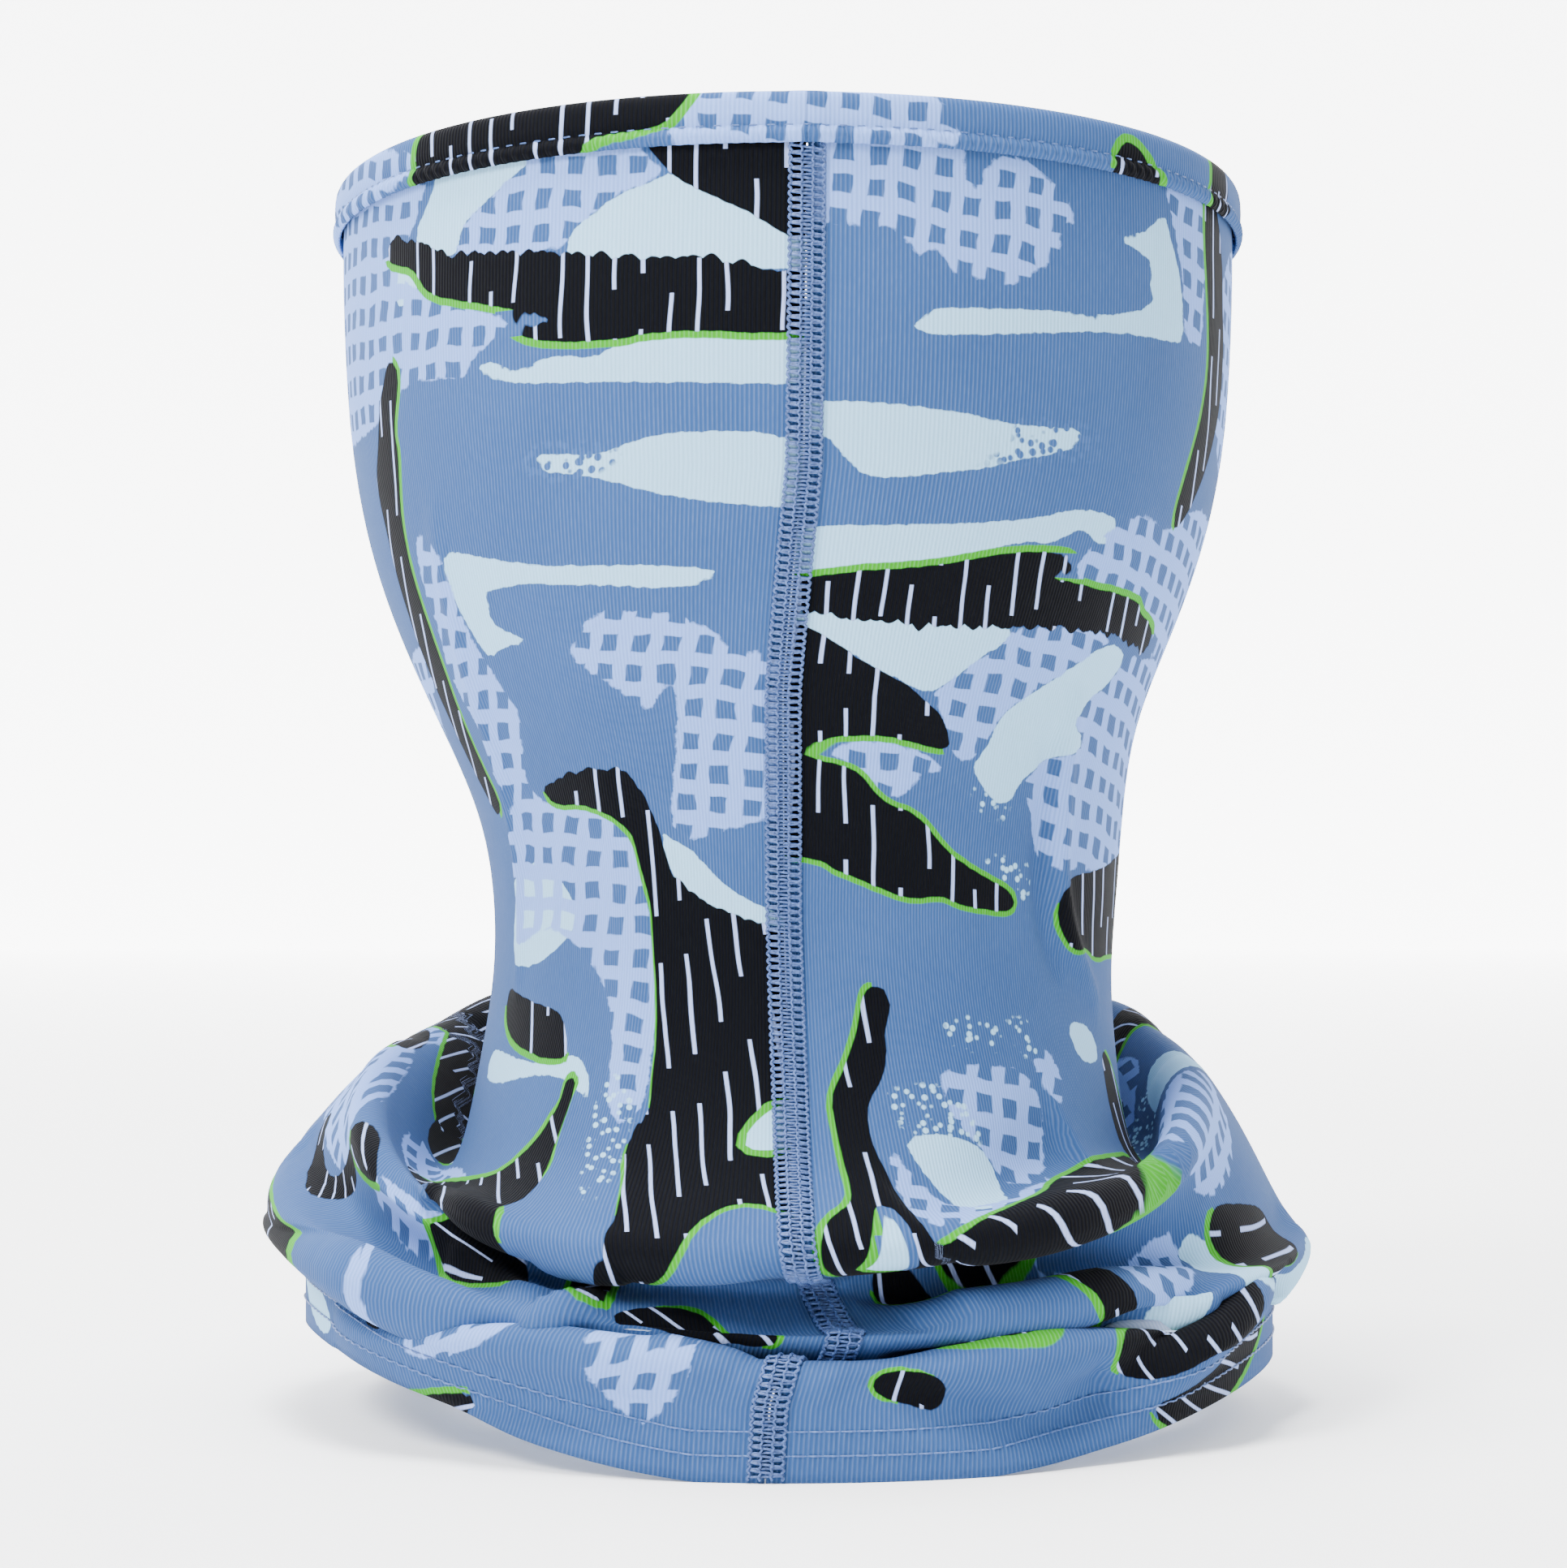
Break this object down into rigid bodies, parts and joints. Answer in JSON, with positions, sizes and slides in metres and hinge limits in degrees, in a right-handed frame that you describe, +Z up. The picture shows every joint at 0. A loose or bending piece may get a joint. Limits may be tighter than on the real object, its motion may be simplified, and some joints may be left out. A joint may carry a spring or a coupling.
{
  "type": "neck gaiter",
  "caption": "Printed stretch-knit neck gaiter in its worn shape: a tube wide over the face, drawn in at the neck, bunched into folds at the base, with a flatlock back seam.",
  "frame": {"origin": "bottom centre of the whole gaiter, on the surface it stands on", "axes": "+Z up along the tube, -Y towards the back of the neck, where the seam is, and +X to the right as seen from behind"},
  "size_m": [0.1938, 0.1915, 0.23],
  "materials": {
    "printed_knit": "fine-ribbed polyester stretch knit, sublimation printed, soft sheen",
    "printed_band": "the same printed knit, folded double",
    "unprinted_knit": "brushed inner face of the knit, unprinted, matt",
    "seam_thread": "textured polyester seam thread, matt",
    "hem_thread": "spun polyester sewing thread, matt"
  },
  "bodies": {
    "root": {"body_panel": "printed_knit", "top_band": "printed_band", "hem_turn_up": "unprinted_knit", "seam_needle_thread_1": "seam_thread", "seam_needle_thread_2": "seam_thread", "seam_needle_thread_3": "seam_thread", "seam_needle_thread_4": "seam_thread", "seam_cover_thread": "seam_thread", "seam_looper_thread": "seam_thread", "band_needle_thread": "hem_thread", "band_bobbin_thread": "hem_thread", "hem_needle_thread_upper": "hem_thread", "hem_needle_thread_lower": "hem_thread", "hem_looper_thread": "hem_thread"}
  },
  "joints": []
}
